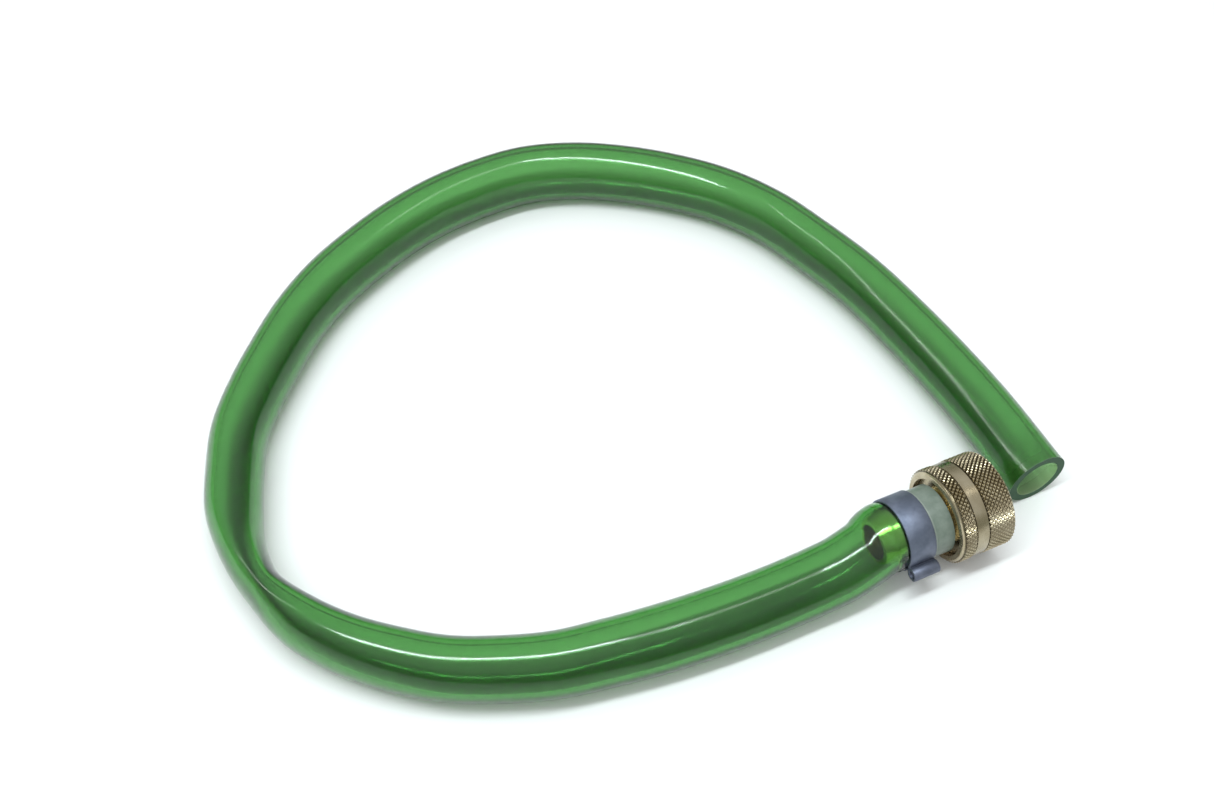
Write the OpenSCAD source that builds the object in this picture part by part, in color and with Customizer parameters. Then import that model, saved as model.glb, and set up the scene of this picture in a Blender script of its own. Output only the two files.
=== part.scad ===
// Siphon hose of a gravel vacuum: a short soft tube that lies in a nearly closed loop. One end is bare.
// The other end is crimped onto a barbed stem that carries a knurled, freely turning thread nut.
// The stem's axis runs along X, the nut's mouth faces +X, and everything stands on the plane Z = 0.

/* [Hose] */
// Outside diameter of the hose
hose_od = 16; // [12:0.5:18]
// Inside diameter of the hose
hose_id = 12; // [8:0.5:13]
// Flat sides of the hose's solid
hose_sides = 12; // [8:1:12]

/* [Swivel nut] */
// Diameter over the knurled bands, which also sets the height of the stem's axis
nut_d = 24; // [23.6:0.1:26]
// Length of the nut along its axis
nut_len = 14.5; // [13.5:0.1:18]
// Bore of the nut's female thread, over the thread's crests
thread_bore_d = 18.63; // [18.5:0.01:19]
// Undercut behind the thread, where the sealing washer sits
undercut_d = 19; // [18.8:0.1:20]
// Diameter of the clearance recess that faces the hose
recess_d = 19.7; // [18.6:0.1:20.5]
// Hole in the nut's web that turns on the stem's neck
web_hole_d = 14.3; // [14.26:0.01:14.36]

/* [Barbed stem] */
// Diameter of the neck inside the nut's web
neck_d = 14.2; // [14.1:0.01:14.24]
// Diameter over the barbs
barb_d = 13.4; // [12.8:0.1:14]
// Diameter between the barbs
root_d = 12.2; // [11.6:0.1:12.6]
// Diameter of the water way
stem_bore_d = 9; // [7:0.5:10]
// Length of the stem between its tip and the nut's mouth
fitting_len = 32; // [31.6:0.1:34]

/* [Ear clamp] */
// Width of the clamp's band
band_w = 7; // [6:0.1:8]
// Thickness of the clamp's strip
band_t = 0.7; // [0.5:0.1:0.9]
// Outside diameter of the closed band
band_d = 18; // [17.8:0.1:18.4]
// How far the closed ear stands out from the band
ear_h = 3.3; // [3:0.1:3.4]
// How far the ear leans below the horizontal
ear_drop_deg = 14; // [14:1:35]

/* [Sealing washer] */
// Outside diameter of the washer, slightly larger than the undercut so that it stays in the nut
washer_d = 19.06; // [19.02:0.01:19.1]
// Hole of the washer
washer_hole_d = 12; // [10:0.5:13]
// Thickness of the washer
washer_t = 2; // [1.5:0.1:2.5]

/* [Hidden] */
$fn = 96;

axis_z = nut_d / 2;
mouth_x = fitting_len / 2;
tip_x = -fitting_len / 2;
nut_back_x = mouth_x - nut_len;
web_back_x = nut_back_x + 1.6;
web_t = 2;
web_front_x = web_back_x + web_t;
axial_gap = 0.05;
flange_d = 18;
flange_t = 2;
flange_x = web_front_x + axial_gap;
washer_x = flange_x + flange_t + axial_gap;
thread_x = washer_x + washer_t + 0.1;
mouth_chamfer = 1;
hose_end_x = nut_back_x - 0.3;
clamp_x = nut_back_x - 5.6;

// Narrow knurl, plain groove and wide knurl along the nut, as distances from its back face
back_round = 0.7;
narrow_knurl_end = 3.6;
plain_band_end = 7.3;
front_round = 0.4;
plain_band_d = nut_d - 0.4;

// The widened hose on the stem: [x, outside radius], from the nut towards the loop
r_out = hose_od / 2;
r_in = hose_id / 2;
clamp_r = band_d / 2 - band_t;
stem_seat_d = 13.2;
on_stem = [
    [hose_end_x, r_out + 0.6],
    [hose_end_x - 3, r_out + 0.55],
    [clamp_x, clamp_r],
    [clamp_x - band_w, clamp_r],
    [clamp_x - band_w - 0.8, r_out + 0.75],
    [clamp_x - band_w - 2.2, r_out + 0.65]
];

// The hose's centre line: it sinks from the stem's tip, then lies on the ground round the loop to the bare end
sinking = [[-17.5, -1, 11], [-20.5, -1.5, 10.5], [-25, -2, 9.5], [-31, -2, 8.5], [-38, -2, 8]];
free_end_x = 33;
free_end_y = 1;
free_bore_len = 24;
on_ground = [
    [-48, -2], [-60, -1.5], [-72, -0.5], [-84, 1], [-96, 3], [-108, 7],
    [-119, 12], [-129, 19], [-138, 27], [-146, 37], [-151, 48], [-153, 61],
    [-152, 73], [-149, 84], [-145, 95], [-138, 106], [-130, 116], [-120, 127],
    [-109, 136], [-97, 143], [-84, 149], [-71, 153], [-57, 155], [-43, 155],
    [-29, 151], [-16, 144], [-4, 135], [7, 124], [16, 110], [22, 94],
    [27, 77], [30, 59], [32, 41],
    [free_end_x, free_end_y + free_bore_len + 1], [free_end_x, free_end_y]
];
last_on_ground = len(on_ground) - 1;

// The bend presses the hose out of round, most of all at the kink: [point on the ground, half the size]
half_widths = [
    [2, r_out], [4, 7.5], [7, 7], [9, 6], [10, 4.5], [11, 5.5], [12, 7],
    [18, 7.5], [25, 7.5], [28, 7], [31, 7.5], [33, r_out]
];
half_heights = [
    [2, r_out], [4, 8.5], [7, 9], [9, 9.5], [10, 9], [12, 9],
    [22, 9.5], [28, 9], [31, 8.5], [33, r_out]
];

function unit(v) = v / norm(v);

// Each ring is [centre, outside half sizes, inside half sizes].
// The lining stays just inside the two round bores at the hose's ends.
lining_r = r_in - 0.1;
wall = r_out - lining_r;
rings = concat(
    [for (s = on_stem) [[s[0], 0, axis_z], [s[1], s[1]], [lining_r, lining_r]]],
    [for (p = sinking) [p, [r_out, r_out], [lining_r, lining_r]]],
    [for (i = [0:last_on_ground])
        let (
            p = on_ground[i],
            w = lookup(i, half_widths),
            h = lookup(i, half_heights)
        )
        [[p[0], p[1], h], [w, h], [w - wall, h - wall]]]
);
last_ring = len(rings) - 1;

function along(i) =
    i == 0 ? unit(rings[1][0] - rings[0][0])
    : i == last_ring ? unit(rings[i][0] - rings[i - 1][0])
    : unit(unit(rings[i + 1][0] - rings[i][0]) + unit(rings[i][0] - rings[i - 1][0]));

function ring_point(i, k, half) =
    let (
        t = along(i),
        side = unit(cross(t, [0, 0, 1])),
        up = cross(side, t),
        a = 360 * k / hose_sides
    )
    rings[i][0] + half[0] * cos(a) * side + half[1] * sin(a) * up;

// Turns a solid drawn about Z onto the stem's axis, with its Z turned into X
module on_axis() {
    translate([0, 0, axis_z]) rotate([0, 90, 0]) children();
}

// A closed turned shape from [x, radius] corners
module turned(corners) {
    on_axis() rotate_extrude() polygon([for (c = corners) [c[1], c[0]]]);
}

module hose_wall() {
    n = hose_sides;
    rows = last_ring + 1;
    outside = [for (i = [0:last_ring]) for (k = [0:n - 1]) ring_point(i, k, rings[i][1])];
    inside = [for (i = [0:last_ring]) for (k = [0:n - 1]) ring_point(i, k, rings[i][2])];
    half = rows * n;
    skin = [for (i = [0:last_ring - 1]) for (k = [0:n - 1])
        let (a = i * n + k, b = i * n + (k + 1) % n)
        each [[a, b + n, b], [a, a + n, b + n]]];
    lining = [for (f = skin) [f[2] + half, f[1] + half, f[0] + half]];
    first_end = [for (k = [0:n - 1])
        let (a = k, b = (k + 1) % n)
        each [[a, b, b + half], [a, b + half, a + half]]];
    last_end = [for (k = [0:n - 1])
        let (a = last_ring * n + k, b = last_ring * n + (k + 1) % n)
        each [[a, b + half, b], [a, a + half, b + half]]];
    polyhedron(concat(outside, inside), concat(skin, lining, first_end, last_end), convexity = 10);
}

module hose() {
    color([0.27, 0.5, 0.28]) difference() {
        hose_wall();
        // the round bore of the bare end, straight for the length of a connector's tail
        translate([free_end_x, free_end_y - 1, r_out])
            rotate([-90, 0, 0]) cylinder(d = hose_id, h = free_bore_len + 1);
        // the round seat that the stem's tail has stretched
        translate([tip_x, 0, axis_z])
            rotate([0, 90, 0]) cylinder(d = stem_seat_d, h = hose_end_x - tip_x + 1);
    }
}

module barbed_stem() {
    barb_len = 4.4;
    barb_count = 3;
    first_barb_x = tip_x + 3.4;
    tail_r = 6.5;
    barbs = [for (i = [0:barb_count - 1])
        each [
            [first_barb_x + i * barb_len - 0.5, barb_d / 2],
            [first_barb_x + i * barb_len, barb_d / 2],
            [first_barb_x + i * barb_len, root_d / 2]
        ]];
    color([0.72, 0.62, 0.4]) turned(concat(
        [[tip_x, stem_bore_d / 2], [tip_x, root_d / 2 - 0.5]],
        barbs,
        [
            [hose_end_x - 4, tail_r],
            [hose_end_x, tail_r],
            [hose_end_x, neck_d / 2],
            [flange_x, neck_d / 2],
            [flange_x, flange_d / 2],
            [flange_x + flange_t, flange_d / 2],
            [flange_x + flange_t, stem_bore_d / 2]
        ]
    ));
}

module ear_clamp() {
    loop_r = 1.7;
    loop_at = band_d / 2 + ear_h - loop_r;
    leg_w = 2.2;
    color([0.5, 0.52, 0.62]) {
        translate([clamp_x - band_w, 0, axis_z]) rotate([0, 90, 0]) linear_extrude(band_w) difference() {
            union() {
                circle(d = band_d);
                // the pinched ear: two strips side by side that open into a round loop
                rotate(ear_drop_deg - 90) {
                    translate([loop_at, 0]) circle(loop_r);
                    translate([band_d / 2 - band_t, -leg_w / 2]) square([loop_at - band_d / 2 + band_t, leg_w]);
                }
            }
            circle(clamp_r);
            rotate(ear_drop_deg - 90) {
                translate([loop_at, 0]) circle(loop_r - band_t);
                translate([band_d / 2 - 0.1, -0.3]) square([loop_at - band_d / 2, 0.6]);
            }
        }
    }
}

module swivel_nut() {
    r = nut_d / 2;
    edge_r = r - 0.3;
    color([0.68, 0.6, 0.42]) turned([
        [nut_back_x, recess_d / 2],
        [nut_back_x, edge_r - back_round],
        [nut_back_x + back_round, edge_r],
        [nut_back_x + back_round, r],
        [nut_back_x + narrow_knurl_end, r],
        [nut_back_x + narrow_knurl_end, plain_band_d / 2],
        [nut_back_x + plain_band_end, plain_band_d / 2],
        [nut_back_x + plain_band_end, r],
        [mouth_x - front_round, r],
        [mouth_x, r - front_round],
        [mouth_x, thread_bore_d / 2 + mouth_chamfer],
        [mouth_x - mouth_chamfer, thread_bore_d / 2],
        [thread_x, thread_bore_d / 2],
        [thread_x, undercut_d / 2],
        [web_front_x, undercut_d / 2],
        [web_front_x, web_hole_d / 2],
        [web_back_x, web_hole_d / 2],
        [web_back_x, recess_d / 2]
    ]);
}

module sealing_washer() {
    color([0.16, 0.16, 0.16]) turned([
        [washer_x, washer_hole_d / 2],
        [washer_x, washer_d / 2],
        [washer_x + washer_t, washer_d / 2],
        [washer_x + washer_t, washer_hole_d / 2]
    ]);
}

hose();
barbed_stem();
ear_clamp();
swivel_nut();
sealing_washer();
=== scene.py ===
"""Looks of the siphon hose: a green see-through tube, and a knurled brass nut on a stem with an ear clamp."""

import math

import bmesh
import bpy
import numpy as np
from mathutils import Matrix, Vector


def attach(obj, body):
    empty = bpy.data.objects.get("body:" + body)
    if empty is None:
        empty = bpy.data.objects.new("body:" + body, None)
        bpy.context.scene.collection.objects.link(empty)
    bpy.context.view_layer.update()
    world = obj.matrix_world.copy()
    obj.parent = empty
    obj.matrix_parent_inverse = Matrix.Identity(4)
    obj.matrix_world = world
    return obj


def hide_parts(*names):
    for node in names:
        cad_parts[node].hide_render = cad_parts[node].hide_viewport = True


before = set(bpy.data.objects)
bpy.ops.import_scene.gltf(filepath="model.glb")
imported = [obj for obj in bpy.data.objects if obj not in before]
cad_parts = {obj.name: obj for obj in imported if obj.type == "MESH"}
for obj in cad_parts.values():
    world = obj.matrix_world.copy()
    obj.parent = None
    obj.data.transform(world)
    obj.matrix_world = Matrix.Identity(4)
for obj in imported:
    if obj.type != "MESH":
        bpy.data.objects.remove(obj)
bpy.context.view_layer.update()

MM = 0.001

# ---------------------------------------------------------------- camera

VIEW_FROM_X = math.radians(-24.1)  # the camera's right, as an angle from +X
PITCH = math.radians(52.2)
AIM = Vector((-0.0527, 0.0721, 0.0))
DISTANCE = 0.349
PHOTO_W = 1214
FOCAL_PX = 1300


def make_camera():
    data = bpy.data.cameras.new("camera")
    data.sensor_fit = "HORIZONTAL"
    data.sensor_width = 36
    data.lens = FOCAL_PX / PHOTO_W * data.sensor_width
    camera = bpy.data.objects.new("camera", data)
    ahead = Vector((
        -math.sin(VIEW_FROM_X) * math.cos(PITCH),
        math.cos(VIEW_FROM_X) * math.cos(PITCH),
        -math.sin(PITCH),
    ))
    camera.location = AIM - ahead * DISTANCE
    camera.rotation_mode = "QUATERNION"
    camera.rotation_quaternion = ahead.to_track_quat("-Z", "Y")
    bpy.context.scene.collection.objects.link(camera)
    bpy.context.scene.camera = camera


make_camera()

# ---------------------------------------------------------------- mesh helpers


def add_object(name, vertices, faces, smooth=True):
    mesh = bpy.data.meshes.new(name)
    mesh.from_pydata([tuple(map(float, v)) for v in vertices], [], faces)
    mesh.validate()
    mesh.update()
    piece = bpy.data.objects.new(name, mesh)
    bpy.context.scene.collection.objects.link(piece)
    for face in mesh.polygons:
        face.use_smooth = smooth
    return piece


def grid_faces(rows, columns, first=0, closed_rows=False):
    """Quads between rows of points; each row is a closed ring of columns points."""
    faces = []
    steps = rows if closed_rows else rows - 1
    for i in range(steps):
        here = first + i * columns
        there = first + (i + 1) % rows * columns
        for k in range(columns):
            n = (k + 1) % columns
            faces.append((here + k, here + n, there + n, there + k))
    return faces


def close_up(piece, crease=math.radians(50)):
    """Turns the faces outwards and keeps the sharp corners of a smooth piece sharp."""
    bm = bmesh.new()
    bm.from_mesh(piece.data)
    bmesh.ops.recalc_face_normals(bm, faces=bm.faces)
    for edge in bm.edges:
        if len(edge.link_faces) == 2 and edge.calc_face_angle(0) > crease:
            edge.smooth = False
    bm.to_mesh(piece.data)
    bm.free()


# ---------------------------------------------------------------- hose

AXIS_Z = 0.012
HOSE_OD = 0.016
HOSE_END_X = 0.0012

# The hose on the stem: x, outside radius, inside radius
ON_STEM = np.array([
    (0.0012, 0.0086, 0.0066),
    (-0.0018, 0.00855, 0.00656),
    (-0.0036, 0.00845, 0.00660),
    (-0.0043, 0.00825, 0.00676),
    (-0.0109, 0.00825, 0.00676),
    (-0.0116, 0.00870, 0.00676),
    (-0.0134, 0.00875, 0.00672),
    (-0.0148, 0.00845, 0.00640),
    (-0.0170, 0.00806, 0.00603),
    (-0.0190, 0.00800, 0.00600),
])

# The hose's centre line: it sinks from the stem's tip, then lies on the ground round the loop to the bare end
STRAIGHT = [
    (0.0012, 0, 0.012), (-0.006, 0, 0.012), (-0.0118, 0, 0.012), (-0.014, -0.0001, 0.0119),
]
SINKING = [
    (-0.0175, -0.001, 0.011), (-0.0205, -0.0015, 0.0105), (-0.025, -0.002, 0.0095),
    (-0.031, -0.002, 0.0085), (-0.038, -0.002, 0.008),
]
ON_GROUND = [
    (-0.048, -0.002), (-0.060, -0.0015), (-0.072, -0.0005), (-0.084, 0.001), (-0.096, 0.003),
    (-0.108, 0.007), (-0.119, 0.012), (-0.129, 0.019), (-0.138, 0.027), (-0.146, 0.037),
    (-0.151, 0.048), (-0.153, 0.061), (-0.152, 0.073), (-0.149, 0.084), (-0.145, 0.095),
    (-0.138, 0.106), (-0.130, 0.116), (-0.120, 0.127), (-0.109, 0.136), (-0.097, 0.143),
    (-0.084, 0.149), (-0.071, 0.153), (-0.057, 0.155), (-0.043, 0.155), (-0.029, 0.151),
    (-0.016, 0.144), (-0.004, 0.135), (0.007, 0.124), (0.016, 0.110), (0.022, 0.094),
    (0.027, 0.077), (0.030, 0.059), (0.032, 0.041), (0.033, 0.026), (0.033, 0.001),
]

# The bend presses the hose out of round, most of all at the kink.
# Each row is the number of a point on the ground, and half the hose's size there in mm.
HALF_WIDTHS = [
    (2, 8), (4, 7.5), (7, 7), (9, 6), (10, 4.5), (11, 5.5), (12, 7),
    (18, 7.5), (25, 7.5), (28, 7), (31, 7.5), (34, 7.8),
]
HALF_HEIGHTS = [
    (2, 8), (4, 8.5), (7, 9), (9, 9.5), (10, 9), (12, 9),
    (22, 9.5), (28, 9), (31, 8.5), (34, 8.2),
]
RING_STEP = 0.0012
HOSE_SIDES = 64


def from_table(table, at):
    keys, values = np.array(table, float).T
    return np.interp(at, keys, values) * MM


def eased(values, reach=4):
    """The values averaged with their neighbours, so that a table's corners don't show."""
    padded = np.pad(values, reach, mode="edge")
    weights = np.hanning(2 * reach + 3)[1:-1]
    return np.convolve(padded, weights / weights.sum(), mode="valid")


def smooth_line(points, step):
    """A smooth curve through the points: places a step apart, their distance along it and their number."""
    p = np.array(points, float)
    chord = np.r_[0, np.cumsum(np.linalg.norm(np.diff(p, axis=0), axis=1))]
    slope = np.gradient(p, chord, axis=0)
    slope[0] = (p[1] - p[0]) / (chord[1] - chord[0])
    slope[-1] = (p[-1] - p[-2]) / (chord[-1] - chord[-2])
    at = np.linspace(0, chord[-1], 8 * int(chord[-1] / step))
    i = np.clip(np.searchsorted(chord, at, side="right") - 1, 0, len(p) - 2)
    h = (chord[i + 1] - chord[i])[:, None]
    t = (at - chord[i])[:, None] / h
    line = (
        (2 * t**3 - 3 * t**2 + 1) * p[i]
        + (t**3 - 2 * t**2 + t) * h * slope[i]
        + (-2 * t**3 + 3 * t**2) * p[i + 1]
        + (t**3 - t**2) * h * slope[i + 1]
    )
    along = np.r_[0, np.cumsum(np.linalg.norm(np.diff(line, axis=0), axis=1))]
    even = np.linspace(0, along[-1], int(along[-1] / step) + 1)
    place = np.interp(even, along, i + t[:, 0])
    return np.stack([np.interp(even, along, line[:, k]) for k in range(3)], axis=1), even, place


def make_hose():
    heights = from_table(HALF_HEIGHTS, np.arange(len(ON_GROUND)))
    ground = [(x, y, z) for (x, y), z in zip(ON_GROUND, heights)]
    line, along, place = smooth_line(STRAIGHT + SINKING + ground, RING_STEP)
    ahead = np.gradient(line, along, axis=0)
    ahead /= np.linalg.norm(ahead, axis=1)[:, None]
    side = np.cross(ahead, (0, 0, 1))
    side /= np.linalg.norm(side, axis=1)[:, None]
    up = np.cross(side, ahead)
    place -= len(STRAIGHT) + len(SINKING)
    half_w = eased(from_table(HALF_WIDTHS, place))
    half_h = eased(from_table(HALF_HEIGHTS, place))
    x = HOSE_END_X - along
    widened = np.interp(-x, -ON_STEM[:, 0], ON_STEM[:, 1]) - HOSE_OD / 2
    wall = np.interp(-x, -ON_STEM[:, 0], ON_STEM[:, 1] - ON_STEM[:, 2])
    angle = np.arange(HOSE_SIDES) * 2 * math.pi / HOSE_SIDES
    vertices = []
    for inset in (0 * wall, wall):
        for c, s, u, w, h in zip(line, side, up, half_w + widened - inset, half_h + widened - inset):
            for a in angle:
                vertices.append(c + w * math.cos(a) * s + h * math.sin(a) * u)
    rows = len(line)
    half = rows * HOSE_SIDES
    outside = [tuple(reversed(f)) for f in grid_faces(rows, HOSE_SIDES)]
    inside = grid_faces(rows, HOSE_SIDES, first=half)
    ends = []
    for k in range(HOSE_SIDES):
        n = (k + 1) % HOSE_SIDES
        last = (rows - 1) * HOSE_SIDES
        ends.append((k, n, half + n, half + k))
        ends.append((last + n, last + k, half + last + k, half + last + n))
    piece = add_object("hose_tube", vertices, outside + inside + ends)
    close_up(piece)
    return piece, line, float(along[-1])


hose, hose_line, hose_length = make_hose()
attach(hose, "hose_assembly")
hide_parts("hose")

# ---------------------------------------------------------------- swivel nut

# Radii and places along X, in metres
NUT_R = 0.012
NUT_BACK = 0.0015
MOUTH = 0.016
NARROW_KNURL = (NUT_BACK + 0.0007, NUT_BACK + 0.0036)
WIDE_KNURL = (NUT_BACK + 0.0073, MOUTH - 0.0004)
KNURL_DEPTH = 0.00044
KNURL_COUNT = 60
PLAIN_R = 0.0118
BESIDE_KNURL_R = 0.0116
RECESS_R = 0.00985
UNDERCUT_R = 0.0095
WEB_HOLE_R = 0.00715
WEB = (0.0031, 0.0051)
THREAD_MINOR = 0.009315
THREAD_MAJOR = 0.01048
THREAD_PITCH = 0.001814
THREAD = (0.0093, 0.015)
COLUMNS = KNURL_COUNT * 4


def wave(x):
    """A triangle wave: 0 at whole numbers, 1 half way between them."""
    return 1 - abs(2 * (x % 1) - 1)


def knurl_row(x, start):
    """Radii round the nut at x: square pyramids between two families of crossing grooves."""
    pitch = 2 * math.pi * NUT_R / KNURL_COUNT
    row = []
    for k in range(COLUMNS):
        u = (x - start) / pitch
        v = k / 4
        height = min(wave(u + v), wave(u - v))
        row.append(NUT_R - KNURL_DEPTH * (1 - min(height, 0.75) / 0.75))
    return row


def thread_row(x):
    row = []
    for k in range(COLUMNS):
        turn = (x - THREAD[0]) / THREAD_PITCH - k / COLUMNS
        flank = min(1, max(0, 1.5 * wave(turn) - 0.25))
        fade = min(1, (THREAD[1] - x) / 0.0009 + 0.15)
        row.append(THREAD_MINOR + (THREAD_MAJOR - THREAD_MINOR) * flank * max(0, fade))
    return row


def make_nut():
    rows = []

    def ring(x, r):
        rows.append((x, [r] * COLUMNS))

    def knurl(span):
        pitch = 2 * math.pi * NUT_R / KNURL_COUNT
        count = round((span[1] - span[0]) / (pitch / 4))
        for i in range(count + 1):
            x = span[0] + (span[1] - span[0]) * i / count
            rows.append((x, knurl_row(span[0] + i * pitch / 4, span[0])))

    ring(NUT_BACK, RECESS_R)
    ring(NUT_BACK, 0.0100)
    ring(NUT_BACK, 0.0109)
    ring(NUT_BACK + 0.00008, 0.0111)
    ring(NUT_BACK + 0.0003, 0.0114)
    ring(NUT_BACK + 0.0005, 0.01155)
    ring(NUT_BACK + 0.00066, BESIDE_KNURL_R)
    knurl(NARROW_KNURL)
    ring(NARROW_KNURL[1] + 0.00005, BESIDE_KNURL_R)
    ring(NARROW_KNURL[1] + 0.0002, BESIDE_KNURL_R)
    ring(NARROW_KNURL[1] + 0.0003, PLAIN_R)
    ring(NARROW_KNURL[1] + 0.0005, PLAIN_R)
    ring(WIDE_KNURL[0] - 0.0005, PLAIN_R)
    ring(WIDE_KNURL[0] - 0.0003, PLAIN_R)
    ring(WIDE_KNURL[0] - 0.0002, BESIDE_KNURL_R)
    ring(WIDE_KNURL[0] - 0.00005, BESIDE_KNURL_R)
    knurl(WIDE_KNURL)
    ring(MOUTH - 0.0002, BESIDE_KNURL_R)
    ring(MOUTH - 0.00005, 0.01145)
    ring(MOUTH, 0.0113)
    ring(MOUTH, 0.0105)
    ring(MOUTH - 0.0001, 0.0104)
    ring(THREAD[1], 0.00945)
    steps = 46
    for i in range(steps + 1):
        x = THREAD[1] - (THREAD[1] - THREAD[0]) * i / steps
        rows.append((x, thread_row(x)))
    ring(THREAD[0] - 0.00002, UNDERCUT_R)
    ring(WEB[1], UNDERCUT_R)
    ring(WEB[1], WEB_HOLE_R)
    ring(WEB[0], WEB_HOLE_R)
    ring(WEB[0], 0.0073)
    ring(WEB[0], 0.0097)
    ring(WEB[0] + 0.00015, RECESS_R)
    vertices = []
    for x, radii in rows:
        for k, r in enumerate(radii):
            a = 2 * math.pi * k / COLUMNS
            vertices.append((x, r * math.cos(a), AXIS_Z + r * math.sin(a)))
    faces = grid_faces(len(rows), COLUMNS, closed_rows=True)
    piece = add_object("nut_knurled", vertices, faces, smooth=False)
    close_up(piece)
    return piece


nut = make_nut()
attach(nut, "nut")
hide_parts("swivel_nut")

# ---------------------------------------------------------------- ear clamp

BAND_T = 0.0007
BAND_X = (-0.0111, -0.0041)
BAND_MID_R = 0.009 - BAND_T / 2
EAR_ANGLE = math.radians(-14)
EAR_TOP = 0.0123 - BAND_T / 2
EAR_LOOP_R = 0.0017 - BAND_T / 2
EAR_NECK = 0.00042


def clamp_outline():
    """The strip's middle line round the hose and the ear, as (out, across) points from the hose's axis."""
    points = []
    gap = 0.11
    turns = 120
    for i in range(turns + 1):
        a = gap + (2 * math.pi - 2 * gap) * i / turns
        points.append((BAND_MID_R * math.cos(a), BAND_MID_R * math.sin(a)))
    centre = EAR_TOP - EAR_LOOP_R
    neck_start = 0.00895
    neck_end = centre - EAR_LOOP_R * 0.98
    points.append((neck_start - 0.0002, -EAR_NECK * 1.25))
    points.append((neck_start, -EAR_NECK))
    points.append((neck_end, -EAR_NECK))
    bends = 28
    open_at = math.radians(158)
    for i in range(bends + 1):
        a = -open_at + 2 * open_at * i / bends
        points.append((centre + EAR_LOOP_R * math.cos(a), EAR_LOOP_R * math.sin(a)))
    points.append((neck_end, EAR_NECK))
    points.append((neck_start, EAR_NECK))
    points.append((neck_start - 0.0002, EAR_NECK * 1.25))
    return np.array(points)


def make_clamp():
    path = clamp_outline()
    ahead = np.roll(path, -1, axis=0) - np.roll(path, 1, axis=0)
    ahead /= np.linalg.norm(ahead, axis=1)[:, None]
    left = np.stack([-ahead[:, 1], ahead[:, 0]], axis=1)
    vertices = []
    edge = 0.00012
    corners = [
        (BAND_X[0], -0.5), (BAND_X[0] + edge, -0.5), (BAND_X[1] - edge, -0.5), (BAND_X[1], -0.5),
        (BAND_X[1], 0.5), (BAND_X[1] - edge, 0.5), (BAND_X[0] + edge, 0.5), (BAND_X[0], 0.5),
    ]
    shrink = [0.7, 1, 1, 0.7, 0.7, 1, 1, 0.7]
    for (out, across), n in zip(path, left):
        for (x, half), k in zip(corners, shrink):
            o = out + n[0] * half * BAND_T * k
            c = across + n[1] * half * BAND_T * k
            y = -(o * math.cos(EAR_ANGLE) - c * math.sin(EAR_ANGLE))
            z = o * math.sin(EAR_ANGLE) + c * math.cos(EAR_ANGLE)
            vertices.append((x, y, AXIS_Z + z))
    faces = grid_faces(len(path), len(corners), closed_rows=True)
    piece = add_object("clamp_band", vertices, faces)
    close_up(piece)
    return piece


clamp = make_clamp()
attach(clamp, "hose_assembly")
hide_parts("ear_clamp")

# ---------------------------------------------------------------- materials


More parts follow.
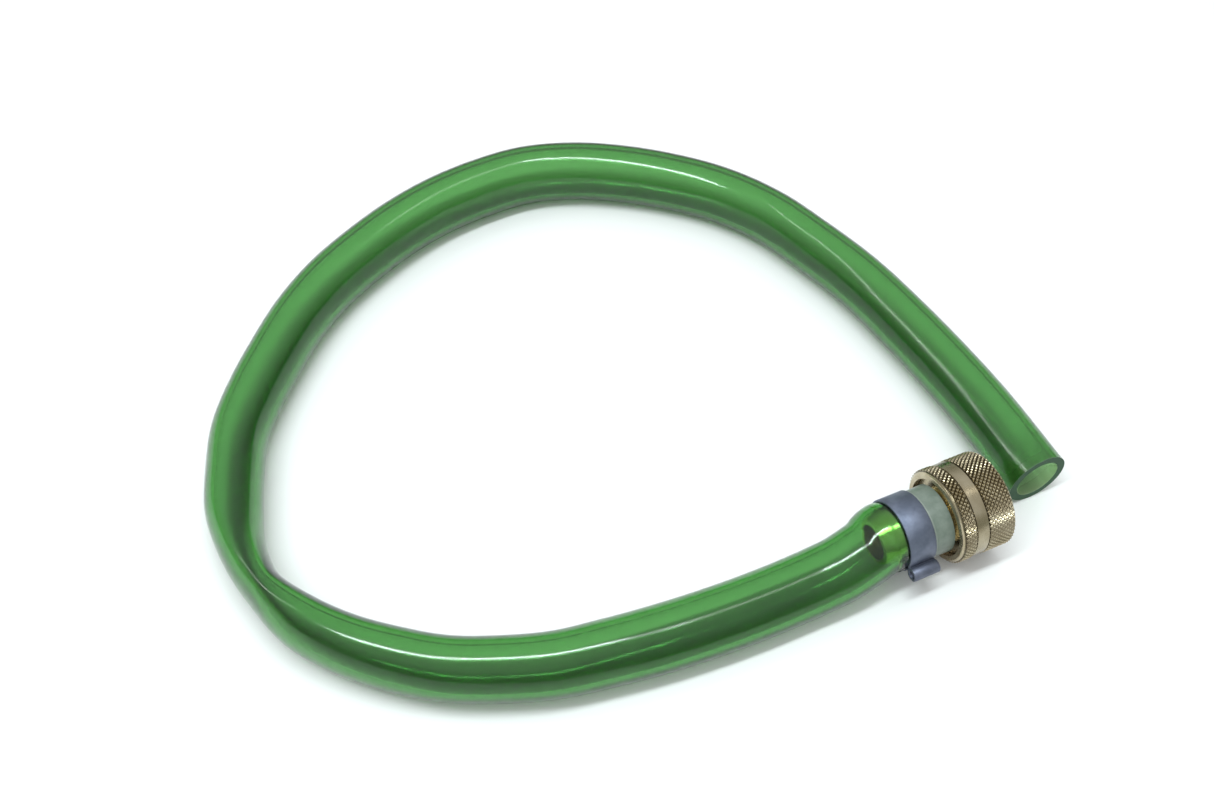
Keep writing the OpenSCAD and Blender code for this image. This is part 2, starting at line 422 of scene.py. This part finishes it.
class Nodes:
    """A material with a Principled shader, and short calls that add nodes to it."""

    def __init__(self, name):
        self.material = bpy.data.materials.new(name)
        self.material.use_nodes = True
        self.tree = self.material.node_tree
        self.shader = self.tree.nodes["Principled BSDF"]
        self.output = self.tree.nodes["Material Output"]

    def set(self, **values):
        for name, value in values.items():
            self.shader.inputs[name.replace("_", " ")].default_value = value

    def add(self, kind, **settings):
        node = self.tree.nodes.new(kind)
        for name, value in settings.items():
            setattr(node, name, value)
        return node

    def link(self, source, target):
        self.tree.links.new(source, target)

    def place(self, scale=(1, 1, 1)):
        where = self.add("ShaderNodeTexCoord")
        stretch = self.add("ShaderNodeMapping")
        stretch.inputs["Scale"].default_value = scale
        self.link(where.outputs["Object"], stretch.inputs["Vector"])
        return stretch.outputs["Vector"]

    def object_xyz(self):
        parts = self.add("ShaderNodeSeparateXYZ")
        self.link(self.place(), parts.inputs["Vector"])
        return parts.outputs["X"], parts.outputs["Y"], parts.outputs["Z"]

    def distance_from_line(self, across, through):
        """Distance from a line through a point. The directions across the line are 1, the others 0."""
        point = self.add("ShaderNodeVectorMath", operation="MULTIPLY_ADD")
        point.inputs[1].default_value = across
        point.inputs[2].default_value = tuple(-c * k for c, k in zip(through, across))
        self.link(self.place(), point.inputs[0])
        length = self.add("ShaderNodeVectorMath", operation="LENGTH")
        self.link(point.outputs["Vector"], length.inputs[0])
        return length.outputs["Value"]

    def value(self, number):
        node = self.add("ShaderNodeValue")
        node.outputs["Value"].default_value = number
        return node.outputs["Value"]

    def math(self, operation, first, second):
        node = self.add("ShaderNodeMath", operation=operation)
        self.link(first, node.inputs[0])
        self.link(second, node.inputs[1])
        return node.outputs["Value"]

    def product(self, first, *others):
        for other in others:
            first = self.math("MULTIPLY", first, other)
        return first

    def total(self, first, second):
        return self.math("ADD", first, second)

    def span(self, source, start, end, low, high):
        """Low where the source is at start, high where it is at end, and level beyond them."""
        node = self.add("ShaderNodeMapRange")
        for name, number in (("From Min", start), ("From Max", end), ("To Min", low), ("To Max", high)):
            node.inputs[name].default_value = number
        self.link(source, node.inputs["Value"])
        return node.outputs["Result"]

    def blend(self, share, first, second):
        """A colour between two colours or sockets."""
        node = self.add("ShaderNodeMix", data_type="RGBA")
        self.link(share, node.inputs["Factor"])
        for colour, target in ((first, node.inputs[6]), (second, node.inputs[7])):
            if isinstance(colour, tuple):
                target.default_value = (*colour, 1)
            else:
                self.link(colour, target)
        return node.outputs[2]

    def noise(self, scale, detail=4, stretch=(1, 1, 1)):
        node = self.add("ShaderNodeTexNoise")
        node.inputs["Scale"].default_value = scale
        node.inputs["Detail"].default_value = detail
        self.link(self.place(stretch), node.inputs["Vector"])
        return node.outputs["Fac"]

    def ramp(self, source, stops):
        node = self.add("ShaderNodeValToRGB")
        while len(node.color_ramp.elements) < len(stops):
            node.color_ramp.elements.new(0.5)
        for element, (at, colour) in zip(node.color_ramp.elements, stops):
            element.position = at
            element.color = (*colour, 1)
        self.link(source, node.inputs["Fac"])
        return node.outputs["Color"]

    def spread(self, source, low, high):
        node = self.add("ShaderNodeMapRange")
        node.inputs["To Min"].default_value = low
        node.inputs["To Max"].default_value = high
        self.link(source, node.inputs["Value"])
        return node.outputs["Result"]

    def bump(self, source, distance, strength=1.0, before=None):
        node = self.add("ShaderNodeBump")
        node.inputs["Distance"].default_value = distance
        node.inputs["Strength"].default_value = strength
        self.link(source, node.inputs["Height"])
        if before is not None:
            self.link(before, node.inputs["Normal"])
        return node.outputs["Normal"]

    def use(self, piece):
        piece.data.materials.clear()
        piece.data.materials.append(self.material)


def green_pvc():
    m = Nodes("green_pvc")
    m.set(IOR=1.46)
    x, y, z = m.object_xyz()
    near_nut = m.product(
        m.span(x, -0.0046, -0.0034, 0, 1), m.span(x, 0.004, 0.006, 1, 0), m.span(y, 0.02, 0.03, 1, 0)
    )
    cut_end = m.product(m.span(y, 0.00112, 0.00104, 0, 1), m.span(x, 0.02, 0.022, 0, 1))
    clouded = m.product(near_nut, m.spread(m.noise(380, 3), 0.72, 1.05))
    from_bare_axis = m.distance_from_line((1, 0, 1), (0.033, 0, 0.0083))
    bare_bore = m.product(
        m.span(from_bare_axis, 0.0069, 0.0071, 1, 0),
        m.span(y, 0.0012, 0.014, 1, 0),
        m.span(y, 0.00104, 0.00112, 0, 1),
    )
    clear = m.product(
        m.span(clouded, 0, 1, 1, 0.15), m.span(cut_end, 0, 1, 1, 0.1), m.span(bare_bore, 0, 1, 1, 0.6)
    )
    m.link(clear, m.shader.inputs["Transmission Weight"])
    # Painted shade: the clouded sleeve beside the nut gets its own grey-green, painted darker towards the
    # bottom.
    sleeve_grey_and_painted_shade = m.blend(m.span(z, 0.014, 0.006, 0, 1), (0.105, 0.145, 0.112), (0.055, 0.075, 0.042))
    green = m.blend(bare_bore, (0.88, 0.98, 0.86), (0.55, 0.64, 0.42))
    pale = m.blend(clouded, green, sleeve_grey_and_painted_shade)
    m.link(m.blend(cut_end, pale, (0.004, 0.06, 0.014)), m.shader.inputs["Base Color"])
    grain = m.spread(m.noise(900, 3), 0.07, 0.14)
    dull = m.total(m.product(clouded, m.value(0.28)), m.product(cut_end, m.value(0.5)))
    m.link(m.total(grain, dull), m.shader.inputs["Roughness"])
    waves = m.noise(45, 2)
    m.link(m.bump(waves, 0.00025, 0.05), m.shader.inputs["Normal"])
    inside = m.add("ShaderNodeVolumeAbsorption")
    inside.inputs["Color"].default_value = (0.12, 0.575, 0.055, 1)
    inside.inputs["Density"].default_value = 580
    m.link(inside.outputs["Volume"], m.output.inputs["Volume"])
    return m


def nut_brass():
    m = Nodes("nut_brass")
    m.set(Metallic=1.0)
    _, _, z = m.object_xyz()
    radius = m.distance_from_line((0, 1, 1), (0, 0, AXIS_Z))
    stain = m.noise(180, 4)
    polished = m.ramp(stain, [(0.35, (0.37, 0.31, 0.20)), (0.65, (0.53, 0.465, 0.33))])
    # The knurl's grooves and the bands beside them are painted nearly black against the crests.
    grooves = m.product(m.span(radius, 0.0119, 0.01162, 0, 1), m.span(radius, 0.0114, 0.01152, 0, 1))
    groove_darkened = m.blend(m.product(grooves, m.value(0.8)), polished, (0.055, 0.042, 0.022))
    # Painted reflection and shade: the nut is painted browner and darker towards the bottom, in place of the
    # brown table it reflects.
    low = m.product(m.span(z, 0.013, 0.003, 0, 1), m.value(0.55))
    m.link(m.blend(low, groove_darkened, (0.20, 0.115, 0.045)), m.shader.inputs["Base Color"])
    m.link(m.spread(m.noise(1500, 3), 0.18, 0.34), m.shader.inputs["Roughness"])
    turned = m.noise(300, 2, (14, 1, 1))
    m.link(m.bump(turned, 0.00004, 0.4), m.shader.inputs["Normal"])
    return m


def stem_brass():
    m = Nodes("stem_brass")
    m.set(Metallic=1.0)
    stain = m.noise(500, 4)
    m.link(
        m.ramp(stain, [(0.3, (0.78, 0.64, 0.30)), (0.7, (0.95, 0.84, 0.52))]),
        m.shader.inputs["Base Color"],
    )
    m.link(m.spread(m.noise(1800, 3), 0.15, 0.32), m.shader.inputs["Roughness"])
    turned = m.noise(300, 2, (16, 1, 1))
    m.link(m.bump(turned, 0.00003, 0.5), m.shader.inputs["Normal"])
    return m


def clamp_steel():
    m = Nodes("clamp_steel")
    m.set(Metallic=0.8)
    _, _, z = m.object_xyz()
    stain = m.ramp(m.noise(260, 3), [(0.35, (0.12, 0.14, 0.19)), (0.65, (0.18, 0.205, 0.27))])
    # Painted shade: the clamp is painted darker towards the bottom.
    low = m.product(m.span(z, 0.017, 0.004, 0, 1), m.value(0.6))
    m.link(m.blend(low, stain, (0.075, 0.07, 0.095)), m.shader.inputs["Base Color"])
    m.link(m.spread(m.noise(2400, 4), 0.42, 0.62), m.shader.inputs["Roughness"])
    m.link(m.bump(m.noise(1900, 5), 0.00008, 0.7), m.shader.inputs["Normal"])
    return m


def washer_rubber():
    m = Nodes("washer_rubber")
    m.link(
        m.ramp(m.noise(1500, 5), [(0.3, (0.02, 0.02, 0.02)), (0.7, (0.05, 0.05, 0.048))]),
        m.shader.inputs["Base Color"],
    )
    m.link(m.spread(m.noise(900, 3), 0.55, 0.8), m.shader.inputs["Roughness"])
    m.link(m.bump(m.noise(3000, 4), 0.00005, 0.6), m.shader.inputs["Normal"])
    return m


def pale_floor():
    m = Nodes("pale_floor")
    m.set(Base_Color=(0.86, 0.86, 0.85, 1), Roughness=0.6)
    return m


green_pvc().use(hose)
nut_brass().use(nut)
clamp_steel().use(clamp)
stem_brass().use(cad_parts["barbed_stem"])
washer_rubber().use(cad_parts["sealing_washer"])

# ---------------------------------------------------------------- floor and light


def make_floor():
    half = 3.0
    floor = add_object(
        "floor",
        [(-half, -half, -0.0001), (half, -half, -0.0001), (half, half, -0.0001), (-half, half, -0.0001)],
        [(0, 1, 2, 3)],
    )
    pale_floor().use(floor)


def area_light(name, place, aim, size, watts, colour=(1, 1, 1)):
    data = bpy.data.lights.new(name, "AREA")
    data.shape = "RECTANGLE"
    data.size, data.size_y = size
    data.energy = watts
    data.color = colour
    light = bpy.data.objects.new(name, data)
    light.location = place
    light.rotation_mode = "QUATERNION"
    light.rotation_quaternion = (Vector(aim) - Vector(place)).to_track_quat("-Z", "Y")
    light.visible_camera = False
    bpy.context.scene.collection.objects.link(light)


def make_light():
    world = bpy.data.worlds.new("studio")
    world.use_nodes = True
    nodes, links = world.node_tree.nodes, world.node_tree.links
    back = nodes["Background"]
    back.inputs["Strength"].default_value = 0.95
    where = nodes.new("ShaderNodeTexCoord")
    parts = nodes.new("ShaderNodeSeparateXYZ")
    sky = nodes.new("ShaderNodeValToRGB")
    sky.color_ramp.elements[0].position = 0.08
    sky.color_ramp.elements[0].color = (0.39, 0.42, 0.34, 1)
    sky.color_ramp.elements[1].position = 0.62
    sky.color_ramp.elements[1].color = (0.95, 0.98, 1.0, 1)
    links.new(where.outputs["Generated"], parts.inputs["Vector"])
    links.new(parts.outputs["Z"], sky.inputs["Fac"])
    links.new(sky.outputs["Color"], back.inputs["Color"])
    bpy.context.scene.world = world
    area_light("overhead", (-0.2, -0.01, 0.6), (-0.2, 0.02, 0), (0.5, 0.06), 2.6, (0.88, 0.97, 1.0))
    area_light("right", (0.18, -0.01, 0.6), (0.18, 0.02, 0), (0.26, 0.06), 0.2)
    area_light("left", (-0.6, 0.33, 0.6), (0.0, 0.05, 0), (0.03, 0.55), 0.45)


make_floor()
make_light()
bpy.context.scene.view_settings.view_transform = "Standard"
